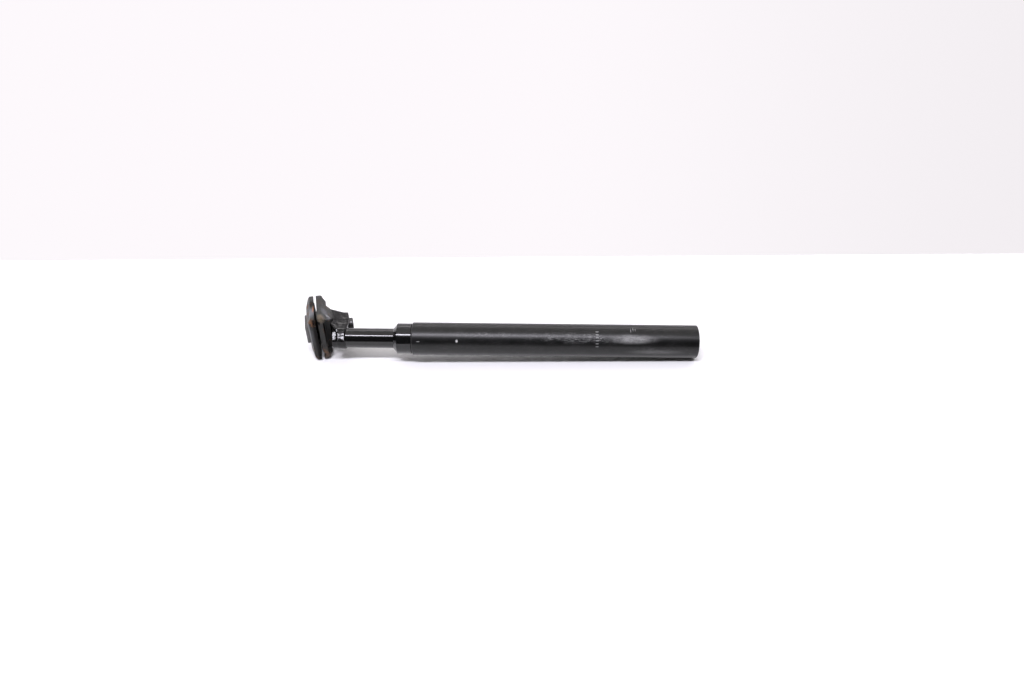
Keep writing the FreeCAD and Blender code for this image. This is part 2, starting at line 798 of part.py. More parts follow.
def slot_outline(sketch):
    """The slot in which the bolt's shank swings, along the fore-aft direction."""
    half = "(bolt_diameter / 2 + bolt_clearance)"
    near = "0 - washer_floor * sin(tilt_inward)"
    far = "washer_floor * sin(tilt_outward)"
    return outline(sketch, [
        (near, f"0 - {half}"),
        (far, f"0 - {half}", half),
        (f"{far} + {half}", "0", half),
        (far, half),
        (near, half, half),
        (f"{near} - {half}", "0", half),
    ])


def head():
    """The forging, with its boss faced square to the bolt just above the bolt's seat."""
    blank = head_blank()
    cradle = tilted_cylinder("cradle_cut", "cradle_radius + cradle_clearance", "arc_centre")
    hollowed = boolean("Cut", "head_with_cradle", blank, cradle)
    bore = doc.addObject("Part::Cylinder", "socket_bore")
    bore.Placement = FreeCAD.Placement(Vector(), FreeCAD.Rotation(Vector(0, 1, 0), 90))
    bind(bore, "Radius", "stanchion_outer / 2 + press_clearance")
    bind(bore, "Height", "socket_depth * 2")
    bind(bore, "Placement.Base.x", "head_face_x - socket_depth")
    bored = boolean("Cut", "head_with_socket", hollowed, bore)
    recess = prism("recess_block", recess_outline, "head_face_x + neck_round", "rail_distance")
    floor = tilted_cylinder("washer_floor_drum", "washer_floor", "arc_centre")
    recess_cut = boolean("Cut", "recess_tool", recess, floor)
    recessed = boolean("Cut", "head_with_recess", bored, recess_cut)
    facing = body_named("boss_facing", tilted=True)
    disc = ring(sketch_on(facing, "YZ_Plane", "bolt_seat + boss_rise"), "0", "0", "clamp_width")
    pad(facing, disc, "rail_distance")
    faced = boolean("Cut", "head_with_faced_boss", recessed, facing)
    slot = body_named("bolt_slot", tilted=True)
    shape = slot_outline(sketch_on(slot, "YZ_Plane"))
    pad(slot, shape, "bolt_seat + bolt_head_height")
    return boolean("Cut", "head", faced, slot)


def drill(body, radius):
    """A hole along the bolt axis, right through the piece."""
    hole = sketch_on(body, "YZ_Plane", "0 - clamp_width")
    ring(hole, "0", "0", radius)
    return pocket(body, hole, "clamp_width * 2", backwards=True)


def rail_grooves(body):
    """The two half-round grooves for the saddle rails, along the fore-aft direction."""
    ends = sketch_on(body, "XZ_Plane")
    ring(ends, "0", "rail_spacing / 2", "rail_diameter / 2")
    ring(ends, "0", "0 - rail_spacing / 2", "rail_diameter / 2")
    return pocket(body, ends, "clamp_length * 2", symmetric=True)


def taper(body, outer, inner, wing, foot):
    """Slant both sides of a clamp: full width up to wing, then narrower, to foot at its far side."""
    for way in ("1", "-1"):
        side = sketch_on(body, "XZ_Plane")
        beyond = f"2 * {outer} - {inner}"
        outline(side, [
            (wing, f"{way} * clamp_width / 2"),
            (outer, f"{way} * {foot} / 2"),
            (beyond, f"{way} * {foot} / 2"),
            (beyond, f"{way} * clamp_width"),
            (wing, f"{way} * clamp_width"),
        ])
        pocket(body, side, "clamp_length * 2", symmetric=True)


def at_corner(spot):
    """True on the four corner edges of a clamp, which run along the bolt's direction."""
    near_end = abs(abs(spot.y) - worth("clamp_length / 2")) < NEAR
    near_side = abs(abs(spot.z) - worth("clamp_width / 2")) < NEAR
    return near_end and near_side


def lower_clamp():
    body = body_named("lower_clamp", tilted=True)
    half = "clamp_length / 2"
    lip = "half_gap + lower_tip"
    arc_end = "sqrt(cradle_radius * cradle_radius - lip_reach * lip_reach)"
    side = outline(sketch_on(body, "XY_Plane"), [
        ("half_gap", f"0 - {half}"),
        (lip, f"0 - {half}"),
        (lip, f"0 - {arc_end}", "cradle_radius"),
        ("half_gap + lower_depth", "0", "cradle_radius"),
        (lip, arc_end),
        (lip, half),
        ("half_gap", half),
    ])
    pad(body, side, "clamp_width", symmetric=True)
    dress(body, "Fillet", "clamp_corner", at_corner)
    land = sketch_on(body, "YZ_Plane", "half_gap + lower_tip / 2")
    rounded_rectangle(land, "land_length / 2", "land_width / 2", "clamp_corner / 2")
    pad(body, land, "lower_tip / 2 + clamp_gap - land_gap", backwards=True)
    rail_grooves(body)
    for way in ("1", "-1"):
        hollow = sketch_on(body, "XY_Plane")
        inner = f"{way} * centre_block / 2"
        outer = f"{way} * clamp_length"
        corners = [
            ("half_gap + pocket_floor", inner),
            ("half_gap + lower_depth * 2", inner),
            ("half_gap + lower_depth * 2", outer),
            ("half_gap + pocket_floor", outer),
        ]
        outline(hollow, corners)
        pocket(body, hollow, "pocket_width", symmetric=True)
    taper(body, "(half_gap + lower_depth)", "half_gap", "half_gap + lower_wing", "lower_foot")
    drill(body, "bolt_diameter / 2 + bolt_clearance / 2")
    return body


def upper_clamp():
    body = body_named("upper_clamp", tilted=True)
    half = "clamp_length / 2"
    side = outline(sketch_on(body, "XY_Plane"), [
        ("0 - half_gap", f"0 - {half}"),
        ("0 - half_gap", half),
        ("0 - half_gap - upper_edge", half),
        ("0 - half_gap - upper_thickness", "upper_flat / 2"),
        ("0 - half_gap - upper_thickness", "0 - upper_flat / 2"),
        ("0 - half_gap - upper_edge", f"0 - {half}"),
    ])
    pad(body, side, "clamp_width", symmetric=True)
    dress(body, "Fillet", "clamp_corner", at_corner)
    rail_grooves(body)
    back = "(0 - half_gap - upper_thickness)"
    taper(body, back, "(0 - half_gap)", "0 - half_gap - upper_wing", "upper_back")
    seat = sketch_on(body, "YZ_Plane", "0 - nut_inner")
    rounded_rectangle(seat, "(nut_size / 2 + nut_clearance)", "(nut_size / 2 + nut_clearance)", "nut_edge")
    pocket(body, seat, "nut_thickness * 2")
    drill(body, "bolt_diameter / 2 + bolt_clearance / 2")
    return body


def nut_plate():
    body = body_named("nut_plate", tilted=True)
    face = sketch_on(body, "YZ_Plane", "0 - nut_inner")
    rounded_rectangle(face, "nut_size / 2", "nut_size / 2", "nut_edge")
    pad(body, face, "nut_thickness", backwards=True)
    outer = worth("0 - nut_outer")
    dress(body, "Chamfer", "nut_edge / 2", lambda spot: abs(spot.x - outer) < NEAR)
    drill(body, "bolt_diameter / 2 + thread_clearance")
    return body


def clamp_bolt():
    body = body_named("clamp_bolt", tilted=True)
    side = outline(sketch_on(body, "XY_Plane"), [
        ("0 - nut_outer", "0"),
        ("bolt_seat + bolt_head_height", "0"),
        ("bolt_seat + bolt_head_height", "bolt_head / 2 - bolt_head_edge"),
        ("bolt_seat + bolt_head_height - bolt_head_edge", "bolt_head / 2"),
        ("bolt_seat", "bolt_head / 2"),
        ("bolt_seat", "bolt_diameter / 2"),
        ("bolt_head_edge - nut_outer", "bolt_diameter / 2"),
        ("0 - nut_outer", "bolt_diameter / 2 - bolt_head_edge"),
    ])
    turn = body.newObject("PartDesign::Revolution", "clamp_bolt_turn")
    turn.Profile = side
    turn.ReferenceAxis = (side, ["H_Axis"])
    turn.Angle = 360
    socket = sketch_on(body, "YZ_Plane", "bolt_seat + bolt_head_height")
    hexagon(socket, "bolt_hex")
    pocket(body, socket, "bolt_hex_depth")
    return body


def flat_washer():
    body = body_named("flat_washer", tilted=True)
    face = sketch_on(body, "YZ_Plane", "bolt_seat - flat_washer_thickness")
    ring(face, "0", "0", "flat_washer_outer / 2")
    ring(face, "0", "0", "bolt_diameter / 2 + bolt_clearance / 2")
    pad(body, face, "flat_washer_thickness")
    return body


def curved_washer():
    """The washer under the bolt head, hollow towards the head so that it can rock round it."""
    body = body_named("curved_washer", tilted=True)
    floor = "(washer_floor + cradle_clearance)"
    half = "curved_washer_length / 2"
    edge = f"arc_centre + sqrt({floor} * {floor} - {half} * {half})"
    side = outline(sketch_on(body, "XY_Plane"), [
        (edge, f"0 - {half}", floor),
        (f"arc_centre + {floor}", "0", floor),
        (edge, half),
        ("bolt_seat - flat_washer_thickness", half),
        ("bolt_seat - flat_washer_thickness", f"0 - {half}"),
    ])
    pad(body, side, "curved_washer_width", symmetric=True)
    drill(body, "bolt_diameter / 2 + bolt_clearance / 2")
    return body


def spread_keys(body):
    """Copies of the first key round the post, as separate solids in one piece of the assembly."""
    doc.recompute()
    single = body.Shape
    count = int(worth("key_count"))
    copies = []
    for number in range(count):
        turned_key = single.copy()
        turned_key.rotate(Vector(), Vector(1, 0, 0), 360 * number / count)
        copies.append(turned_key)
    feature = doc.addObject("Part::Feature", "key_pins")
    feature.Shape = Part.makeCompound(copies)
    return feature


def write_parts(pieces):
    """Check every object and every piece, and only then write the pieces."""
    doc.recompute()
    for item in doc.Objects:
        if "Invalid" in item.State or "Error" in item.State:
            raise RuntimeError(f"{item.Label} did not rebuild: {item.State}")
    for node, piece in pieces.items():
        shape = piece.Shape
        if shape.isNull() or not shape.isValid() or not shape.Solids:
            raise RuntimeError(f"{node} has no valid solid")
    os.makedirs("parts", exist_ok=True)
    for node, piece in pieces.items():
        piece.Shape.exportStep(f"parts/{node}.step")
        print(f"{node}: {len(piece.Shape.Solids)} solid, {piece.Shape.Volume:.0f} mm3")


makers = [
    outer_tube, collar_nut, collar_gasket, wiper_seal, upper_guide, key_pins, top_out_bumper,
    stanchion, lower_slider, circlip, upper_spring_seat, main_spring, lower_spring_seat,
    elastomer_core, preload_spacer, preload_plug, head, lower_clamp, upper_clamp, nut_plate,
    clamp_bolt, flat_washer, curved_washer,
]
pieces = {maker.__name__: maker() for maker in makers}
pieces["key_pins"] = spread_keys(pieces["key_pins"])
write_parts(pieces)
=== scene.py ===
# Looks of a scuffed suspension seatpost that lies on a white table.
# Everything is in metres, in the part's own frame: the post runs along X, with the saddle
# clamp towards -X, and its left and right lie along Z, which points up as the post lies.

import math

import bpy
from mathutils import Matrix, Vector


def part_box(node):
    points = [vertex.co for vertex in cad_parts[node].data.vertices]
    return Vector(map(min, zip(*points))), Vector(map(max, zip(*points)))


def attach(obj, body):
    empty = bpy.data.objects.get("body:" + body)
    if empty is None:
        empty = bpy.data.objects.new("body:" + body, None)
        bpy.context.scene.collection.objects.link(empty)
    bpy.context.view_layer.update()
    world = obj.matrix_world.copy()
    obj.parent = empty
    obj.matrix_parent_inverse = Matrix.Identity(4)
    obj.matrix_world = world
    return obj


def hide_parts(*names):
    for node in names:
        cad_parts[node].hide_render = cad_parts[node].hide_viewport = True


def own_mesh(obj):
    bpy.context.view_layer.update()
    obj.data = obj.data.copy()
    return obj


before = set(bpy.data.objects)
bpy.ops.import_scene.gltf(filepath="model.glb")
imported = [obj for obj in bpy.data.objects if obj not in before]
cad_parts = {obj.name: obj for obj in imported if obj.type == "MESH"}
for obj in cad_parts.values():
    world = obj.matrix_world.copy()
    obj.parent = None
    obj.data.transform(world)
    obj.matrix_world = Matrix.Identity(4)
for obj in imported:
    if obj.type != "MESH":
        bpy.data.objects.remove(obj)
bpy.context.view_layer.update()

MM = 0.001

# camera, as the photograph sees the post
CAMERA_X = -91.5 * MM
CAMERA_DISTANCE = 854.0 * MM
CAMERA_ELEVATION = math.radians(42.0)
CAMERA_PITCH = math.radians(0.138)
CAMERA_ROLL = 0.0109
FOCAL_PIXELS = 800.0
IMAGE_WIDTH = 1024.0
SENSOR_WIDTH = 36.0

# sizes read from the part
TUBE_LOW, TUBE_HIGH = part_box("outer_tube")
TUBE_RADIUS = TUBE_HIGH[2]
TUBE_END = TUBE_HIGH[0]
TUBE_EDGE = 0.5 * MM
CLAMP_LOW, CLAMP_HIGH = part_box("lower_clamp")
SHARP_ANGLE = math.radians(32)

# the bolt's direction, and how far along it the plane of the rails lies
CLAMP_TILT = math.radians(12.5)
BOLT_AXIS = (math.cos(CLAMP_TILT), math.sin(CLAMP_TILT), 0.0)
RAIL_PLANE = -300.5 * MM * BOLT_AXIS[0] + 16.0 * MM * BOLT_AXIS[1]

# the head's socket round the stanchion, and the flat that its forging has on its upper front
SOCKET_RADIUS = 12.0 * MM
FLANK_ANGLE = math.radians(58.5)
FLANK_HALF = 6.5 * MM

# colours on the clamps: stain, rust and dust colours, and colours that paint shade, lit facets and a
# highlight
# a near-black that paints shade, in spots and in the band near the rails
SHADE_BLACK = (0.006, 0.005, 0.005, 1)
BROWN = (0.11, 0.06, 0.035, 1)
# a dark brown that paints shade on the lower clamp's far top tip
SHADE_BROWN = (0.03, 0.021, 0.016, 1)
OCHRE = (0.17, 0.13, 0.08, 1)
ORANGE = (0.36, 0.12, 0.03, 1)
RUST = (0.16, 0.072, 0.028, 1)
# dust, which also paints light on upward faces
DUST_AND_LIGHT_GREY = (0.06, 0.061, 0.058, 1)
# a light bluish grey that paints lamp-lit facets
LIT_BLUE = (0.17, 0.18, 0.2, 1)
# a light grey that paints a highlight
HIGHLIGHT_GREY = (0.4, 0.4, 0.42, 1)

# patches: a place and half sizes in millimetres, a colour, and how strongly it covers; some are real
# stain colours, and some paint shade, lit facets or a highlight
LOWER_CLAMP_PATCHES = (
    ((-292.0, 0.0, 27.0), (6, 6, 8), OCHRE, 0.85),
    ((-291.5, -3.0, -21.0), (8, 6, 9), BROWN, 0.6),
    # painted shade: a near-black spot over the dark pocket on the lower clamp's near side
    ((-289.0, 7.5, -5.0), (6, 7, 22), SHADE_BLACK, 0.95),
    # painted light: a lighter bluish patch on the lower clamp's upper facet
    ((-291.0, 13.0, 25.0), (7, 7, 7), LIT_BLUE, 0.6),
    # painted shade: the lower clamp's far top tip darkened
    ((-296.0, 25.0, 29.0), (9, 7, 5), SHADE_BROWN, 0.9),
    # painted highlight: a light line along the edge of the lower clamp's facet
    ((-286.7, 9.8, 20.5), (5, 2.5, 6), HIGHLIGHT_GREY, 0.9),
)
UPPER_CLAMP_PATCHES = (
    # painted light: the upper clamp's top facet lit bluish grey
    ((-303.0, 6.0, 29.5), (7, 10, 4), LIT_BLUE, 0.85),
    # painted shade: the upper clamp's far top tip darkened
    ((-304.5, 20.0, 29.0), (8, 7.5, 6), SHADE_BLACK, 1.0),
    ((-301.2, 14.0, 28.5), (2.0, 10, 5), ORANGE, 0.9),
    # painted light: the upper clamp's near face lit bluish grey
    ((-305.0, -3.0, 6.0), (5, 5, 24), LIT_BLUE, 0.6),
    ((-302.0, -5.0, 26.0), (7, 4, 5), BROWN, 0.9),
)

# painted shade between two depths along the bolt from the rails, in millimetres; the lower clamp has
# none
UPPER_CLAMP_SHADE = (-5.2, -3.4)
NO_SHADE = (1000.0, 1001.0)

# marks on the tube, in millimetres: x, degrees above its front, half length, half width, strength
TUBE_PATCH = (34, 47, (33, 7, 6), 0.8)
TUBE_SCUFFS = (
    (-42, 49, 44, 8, 0.85),
    (-8, 49, 34, 7, 0.95),
    (14, 47, 20, 6.5, 1),
    (62, 2, 40, 7, 0.4),
    (-120, 58, 50, 4, 0.4),
)
TUBE_RUB = (60, 0, (40, 5, 4.5), 0.9)
TUBE_CHIP = (-149.5, 34.5, (1.7, 2.4, 2.4), 0.9)
TUBE_SCRATCHES = (
    (-190, 31, 2.6, 0.5),
    (35.5, 86, 0.3, 3.4),
    (33, 80, 0.25, 4.2),
    (37.8, 83, 0.25, 2.6),
)

# the ticks at the minimum insertion plane, in degrees above the tube's front
TICK_ANGLES = (73, 62, 51.5, 41, 30.5, 20)
TICK_HALF_ANGLE = 1.7
TICK_ENDS = (-3.9 * MM, -0.9 * MM)
TICK_LIFT = 0.03 * MM

# the table touches the clamp's lower side and the tube's far rim
REST_X = CLAMP_HIGH[0] - 3 * MM
REST_Z = CLAMP_LOW[2]
TABLE_SLOPE = (-TUBE_RADIUS - REST_Z) / (TUBE_END - TUBE_EDGE - REST_X)
WALL_Y = 180 * MM
WALL_TOP = 320 * MM
WALL_TURN = 0.012
STAGE_REACH = 3.0

# stage colours, and the strip of the wall that shows brightly in the part's gloss
TABLE_WHITE = (0.93, 0.93, 0.93, 1)
WALL_PALE = (0.93, 0.905, 0.895, 1)
WALL_STRIP = (130 * MM, 165 * MM, 4.0)
STRIP_EDGE = 5 * MM

# the lamp, and the room: its light, and its pale backdrop as the camera sees it
LAMP_COLOUR = (0.92, 0.9, 1.0)
ROOM_COLOUR = (1, 0.975, 0.965, 1)
ROOM_DARK = 0.03
ROOM_BRIGHT = 1.15
BACKDROP_COLOUR = (1, 0.96, 0.99, 1)
BACKDROP_LEFT = 0.985
BACKDROP_RIGHT = 0.87


class Nodes:
    """A small helper that adds linked shader nodes to one tree."""

    def __init__(self, tree):
        self.tree = tree

    def add(self, kind, **settings):
        """Add a node. Settings named after a socket fill it with a number, a colour or a link."""
        node = self.tree.nodes.new(kind)
        inputs = settings.pop("inputs", {})
        for name, value in settings.items():
            setattr(node, name, value)
        for name, value in inputs.items():
            self.fill(node.inputs[name], value)
        return node

    def fill(self, socket, value):
        if isinstance(value, bpy.types.NodeSocket):
            self.tree.links.new(value, socket)
        else:
            socket.default_value = value

    def math(self, operation, first, second=0.0, third=0.0):
        node = self.add("ShaderNodeMath", operation=operation)
        for socket, value in zip(node.inputs, (first, second, third)):
            self.fill(socket, value)
        return node.outputs[0]

    def times(self, first, second):
        return self.math("MULTIPLY", first, second)

    def noise(self, place, scale, detail=4.0, rough=0.5, stretch=(1, 1, 1)):
        """Noise with about `scale` spots per metre, drawn out along any axis of `stretch` under 1."""
        spread = self.add("ShaderNodeMapping", inputs={"Vector": place, "Scale": stretch})
        node = self.add("ShaderNodeTexNoise", inputs={
            "Vector": spread.outputs[0], "Scale": scale, "Detail": detail, "Roughness": rough})
        return node.outputs[0]

    def step(self, value, low, high, bottom=0.0, top=1.0):
        """A smooth step from bottom to top as value goes from low to high."""
        node = self.add("ShaderNodeMapRange", interpolation_type="SMOOTHSTEP", clamp=True)
        for socket, number in zip(node.inputs, (value, low, high, bottom, top)):
            self.fill(socket, number)
        return node.outputs[0]

    def blend(self, amount, first, second):
        """Mix two colours."""
        node = self.add("ShaderNodeMix", data_type="RGBA")
        self.fill(node.inputs[0], amount)
        self.fill(node.inputs[6], first)
        self.fill(node.inputs[7], second)
        return node.outputs[2]

    def spot(self, place, centre, reach, soft=0.5):
        """1 inside an ellipsoid round centre with half sizes reach, falling to 0 at its edge."""
        shifted = self.add("ShaderNodeVectorMath", operation="SUBTRACT")
        self.fill(shifted.inputs[0], place)
        self.fill(shifted.inputs[1], centre)
        scaled = self.add("ShaderNodeVectorMath", operation="DIVIDE")
        self.fill(scaled.inputs[0], shifted.outputs[0])
        self.fill(scaled.inputs[1], reach)
        length = self.add("ShaderNodeVectorMath", operation="LENGTH")
        self.fill(length.inputs[0], scaled.outputs[0])
        return self.step(length.outputs["Value"], 1.0 - soft, 1.0, 1.0, 0.0)

    def bump(self, height, strength, distance=0.1 * MM, normal=None):
        inputs = {"Height": height, "Strength": strength, "Distance": distance}
        if normal is not None:
            inputs["Normal"] = normal
        return self.add("ShaderNodeBump", inputs=inputs).outputs[0]


def surface(name, metallic=0.0, **constants):
    """A new material: its nodes, its shader and the object coordinates, in metres on the part."""
    material = bpy.data.materials.new(name)
    material.use_nodes = True
    nodes = Nodes(material.node_tree)
    shader = material.node_tree.nodes["Principled BSDF"]
    shader.inputs["Metallic"].default_value = metallic
    for socket, value in constants.items():
        shader.inputs[socket.replace("_", " ")].default_value = value
    place = nodes.add("ShaderNodeTexCoord").outputs["Object"]
    return material, nodes, shader, place


def gray(level, warmth=0.0):
    return (level * (1 + warmth), level, level * (1 - warmth), 1)


def plain(name, colour, roughness, metallic=0.0, grain=900.0, wear=0.12, **constants):
    """A material with fine grain: small changes of roughness and colour, and a light bump."""
    material, nodes, shader, place = surface(name, metallic, **constants)
    coarse = nodes.noise(place, grain / 8)
    fine = nodes.noise(place, grain)
    darker = tuple(channel * (1 - 2 * wear) for channel in colour[:3]) + (1,)
    nodes.fill(shader.inputs["Base Color"], nodes.blend(nodes.step(coarse, 0.3, 0.7), darker, colour))
    smoother, rougher = roughness * (1 - wear), roughness * (1 + wear)
    nodes.fill(shader.inputs["Roughness"], nodes.step(fine, 0.2, 0.8, smoother, rougher))
    nodes.fill(shader.inputs["Normal"], nodes.bump(fine, wear))
    return material


def on_tube(x, up_angle):
    """A point on the tube's outside, at an angle above the side that faces the camera's foot."""
    angle = math.radians(up_angle)
    return (x, -TUBE_RADIUS * math.cos(angle), TUBE_RADIUS * math.sin(angle))


def tube_spot(nodes, place, x, angle, reach, soft):
    """A soft spot on the tube, with its place and half sizes in millimetres."""
    return nodes.spot(place, on_tube(x * MM, angle), [size * MM for size in reach], soft)


def tube_material():
    """Matte black anodising with a fine orange peel, cloudy scuffs, scratches and a few chips."""
    material, nodes, shader, place = surface("matte_black_anodised", IOR=1.39)
    cloud = nodes.noise(place, 120, detail=6, rough=0.65, stretch=(0.5, 1, 1))
    rub = nodes.noise(place, 900, detail=5, rough=0.7, stretch=(0.25, 1, 1))
    fine = nodes.noise(place, 5200, detail=3)
    patch = tube_spot(nodes, place, *TUBE_PATCH)
    scuffs = patch
    for x, angle, length, width, strength in TUBE_SCUFFS:
        light = tube_spot(nodes, place, x, angle, (length, width, width), 0.9)
        scuffs = nodes.math("MAXIMUM", scuffs, nodes.times(light, strength))
    haze = nodes.times(nodes.step(rub, 0.4, 0.72), nodes.step(cloud, 0.35, 0.62))
    haze = nodes.times(haze, nodes.math("ADD", scuffs, 0.05))
    solid = nodes.times(patch, nodes.step(cloud, 0.3, 0.55, 0.35, 1.0))
    haze = nodes.math("MAXIMUM", haze, nodes.times(solid, nodes.step(rub, 0.3, 0.6, 0.45, 1.0)))
    under = tube_spot(nodes, place, *TUBE_RUB)
    haze = nodes.math("MAXIMUM", haze, nodes.times(under, nodes.step(rub, 0.2, 0.8, 0.2, 0.42)))
    scratches = nodes.noise(place, 700, detail=8, rough=0.9, stretch=(0.05, 1.6, 1.6))
    lines = nodes.times(nodes.step(scratches, 0.66, 0.72), nodes.math("ADD", scuffs, 0.15))
    chips = tube_spot(nodes, place, *TUBE_CHIP)
    for x, angle, length, width in TUBE_SCRATCHES:
        mark = tube_spot(nodes, place, x, angle, (length, width, width), 0.9)
        chips = nodes.math("MAXIMUM", chips, nodes.times(mark, 0.8))
    ragged = nodes.times(chips, nodes.step(rub, 0.3, 0.5, 0.35, 1.0))
    black = nodes.blend(nodes.step(cloud, 0.3, 0.7), gray(0.0015), gray(0.0035))
    hazed = nodes.blend(nodes.times(haze, 0.8), black, gray(0.3))
    scratched = nodes.blend(nodes.times(lines, 0.35), hazed, gray(0.4))
    nodes.fill(shader.inputs["Base Color"], nodes.blend(ragged, scratched, gray(0.62)))
    matte = nodes.step(fine, 0.25, 0.75, 0.3, 0.38)
    nodes.fill(shader.inputs["Roughness"], nodes.math("ADD", matte, nodes.times(haze, 0.2)))
    peel = nodes.bump(fine, 0.25)
    nodes.fill(shader.inputs["Normal"], nodes.bump(ragged, -0.4, 0.15 * MM, peel))
    return material


def gloss_black(name, level=0.004, roughness=0.09, ior=1.5):
    """Deep gloss black with faint handling marks and hair scratches round the post."""
    material, nodes, shader, place = surface(name, IOR=ior)
    marks = nodes.noise(place, 260, detail=6, rough=0.7)
    hair = nodes.noise(place, 900, detail=6, rough=0.8, stretch=(1, 0.12, 0.12))
    scratch = nodes.step(hair, 0.62, 0.72)
    nodes.fill(shader.inputs["Base Color"],
               nodes.blend(nodes.times(scratch, 0.08), gray(level), gray(0.3)))
    smear = nodes.step(marks, 0.35, 0.75, roughness, roughness * 2.2)
    nodes.fill(shader.inputs["Roughness"], nodes.math("ADD", smear, nodes.times(scratch, 0.1)))
    nodes.fill(shader.inputs["Normal"], nodes.bump(hair, 0.04))
    return material


def across_flank(nodes, place):
    """How far a point of the head lies from the middle line of its flat flank, along the flank."""
    nearness = nodes.add("ShaderNodeVectorMath", operation="DOT_PRODUCT")
    nodes.fill(nearness.inputs[0], place)
    nodes.fill(nearness.inputs[1], (0.0, math.sin(FLANK_ANGLE), math.cos(FLANK_ANGLE)))
    return nearness.outputs["Value"]


def head_material():
    """A dark polished forging with small dents and a patchy film of dirt."""
    material, nodes, shader, place = surface("dark_polished_forging", IOR=1.34)
    dents = nodes.noise(place, 120, detail=2, rough=0.35)
    pits = nodes.noise(place, 2600, detail=4, rough=0.6)
    film = nodes.noise(place, 150, detail=6, rough=0.7)
    dirt = nodes.step(film, 0.56, 0.7)
    polished, dirty = gray(0.002, -0.02), gray(0.011, 0.15)
    nodes.fill(shader.inputs["Base Color"], nodes.blend(nodes.times(dirt, 0.6), polished, dirty))
    polish = nodes.step(pits, 0.3, 0.8, 0.1, 0.17)
    nodes.fill(shader.inputs["Roughness"], nodes.math("ADD", polish, nodes.times(dirt, 0.2)))
    flat = nodes.math("MINIMUM", nodes.math("POWER", across_flank(nodes, place), 2.0), FLANK_HALF ** 2)
    flank = nodes.bump(nodes.math("DIVIDE", flat, 2 * SOCKET_RADIUS), 1.0, 1.0)
    dented = nodes.bump(dents, 1.0, 0.8 * MM, flank)
    nodes.fill(shader.inputs["Normal"], nodes.bump(pits, 0.12, 0.1 * MM, dented))
    return material


def clamp_material(name, seed, rust_amount, patches, shade_from, shade_to):
    """A dull dark grey forging with rust marks, edges rubbed lighter, painted shade near the rails and
    in dark spots, painted lit facets, a painted highlight, and upward faces lighter with dust and
    painted light.
    """
    material, nodes, shader, place = surface(name, IOR=1.32)
    moved = nodes.add("ShaderNodeVectorMath", operation="ADD")
    nodes.fill(moved.inputs[0], place)
    nodes.fill(moved.inputs[1], (seed, -seed, seed))
    moved = moved.outputs[0]
    skin = nodes.noise(moved, 1700, detail=5, rough=0.65)
    blot = nodes.noise(moved, 190, detail=7, rough=0.68)
    patch = nodes.noise(moved, 75, detail=3)
    spread = nodes.step(patch, 0.62 - rust_amount, 0.8 - rust_amount)
    rust = nodes.times(nodes.step(blot, 0.5, 0.62), spread)
    steel = nodes.blend(nodes.step(skin, 0.3, 0.7), (0.005, 0.005, 0.0047, 1), (0.022, 0.022, 0.02, 1))
    stained = nodes.blend(nodes.step(blot, 0.56, 0.72), steel, (0.06, 0.04, 0.026, 1))
    facing = nodes.add("ShaderNodeSeparateXYZ", inputs={
        "Vector": nodes.add("ShaderNodeNewGeometry").outputs["Normal"]}).outputs
    # upward faces made lighter: partly dust, partly painted light from the lamp above
    upward = nodes.step(facing["Z"], 0.1, 0.7)
    dust_and_top_light = nodes.times(upward, nodes.step(blot, 0.35, 0.65, 0.3, 1.0))
    clamp_colour = nodes.blend(nodes.times(dust_and_top_light, 0.6), stained, DUST_AND_LIGHT_GREY)
    shade_spots = 0.0
    # the patches: real stain colours, and painted shade, painted lit facets and a painted highlight
    for centre, reach, colour, cover in patches:
        spot = nodes.spot(place, [c * MM for c in centre], [r * MM for r in reach], 0.8)
        amount = nodes.times(spot, nodes.step(skin, 0.25, 0.7, cover * 0.5, cover))
        clamp_colour = nodes.blend(amount, clamp_colour, colour)
        # spots in the near-black shade colour are painted shade, and lose some gloss below
        if colour == SHADE_BLACK:
            shade_spots = nodes.math("MAXIMUM", shade_spots, amount)
    rusted_and_shaded = nodes.blend(nodes.times(rust, 0.8), clamp_colour, RUST)
    # painted shade: a dark band between two depths along the bolt from the rails, only on faces that
    # don't face up
    out_from_rails = nodes.add("ShaderNodeVectorMath", operation="DOT_PRODUCT")
    nodes.fill(out_from_rails.inputs[0], place)
    nodes.fill(out_from_rails.inputs[1], BOLT_AXIS)
    depth = nodes.math("SUBTRACT", out_from_rails.outputs["Value"], RAIL_PLANE)
    shaded = nodes.step(depth, shade_from * MM, shade_to * MM)
    painted_shade = nodes.times(shaded, nodes.step(blot, 0.3, 0.5, 0.7, 0.9))
    painted_shade = nodes.times(painted_shade, nodes.math("SUBTRACT", 1.0, upward))
    rusted_and_shaded = nodes.blend(painted_shade, rusted_and_shaded, SHADE_BLACK)
    # less gloss where shade is painted
    dull = nodes.math("MAXIMUM", painted_shade, shade_spots)
    nodes.fill(shader.inputs["Specular IOR Level"], nodes.math("MULTIPLY_ADD", dull, -0.45, 0.5))
    worn = nodes.add("ShaderNodeNewGeometry").outputs["Pointiness"]
    rubbed = nodes.times(nodes.step(worn, 0.53, 0.6), nodes.step(skin, 0.35, 0.6))
    edged = nodes.blend(nodes.times(rubbed, 0.5), rusted_and_shaded, gray(0.3, 0.03))
    nodes.fill(shader.inputs["Base Color"], edged)
    uneven = nodes.step(skin, 0.3, 0.8, 0.36, 0.55)
    nodes.fill(shader.inputs["Roughness"], nodes.math("ADD", uneven, nodes.times(rust, 0.3)))
    rough = nodes.bump(skin, 0.5, 0.25 * MM)
    nodes.fill(shader.inputs["Normal"], nodes.bump(blot, 0.35, 0.5 * MM, rough))
    return material


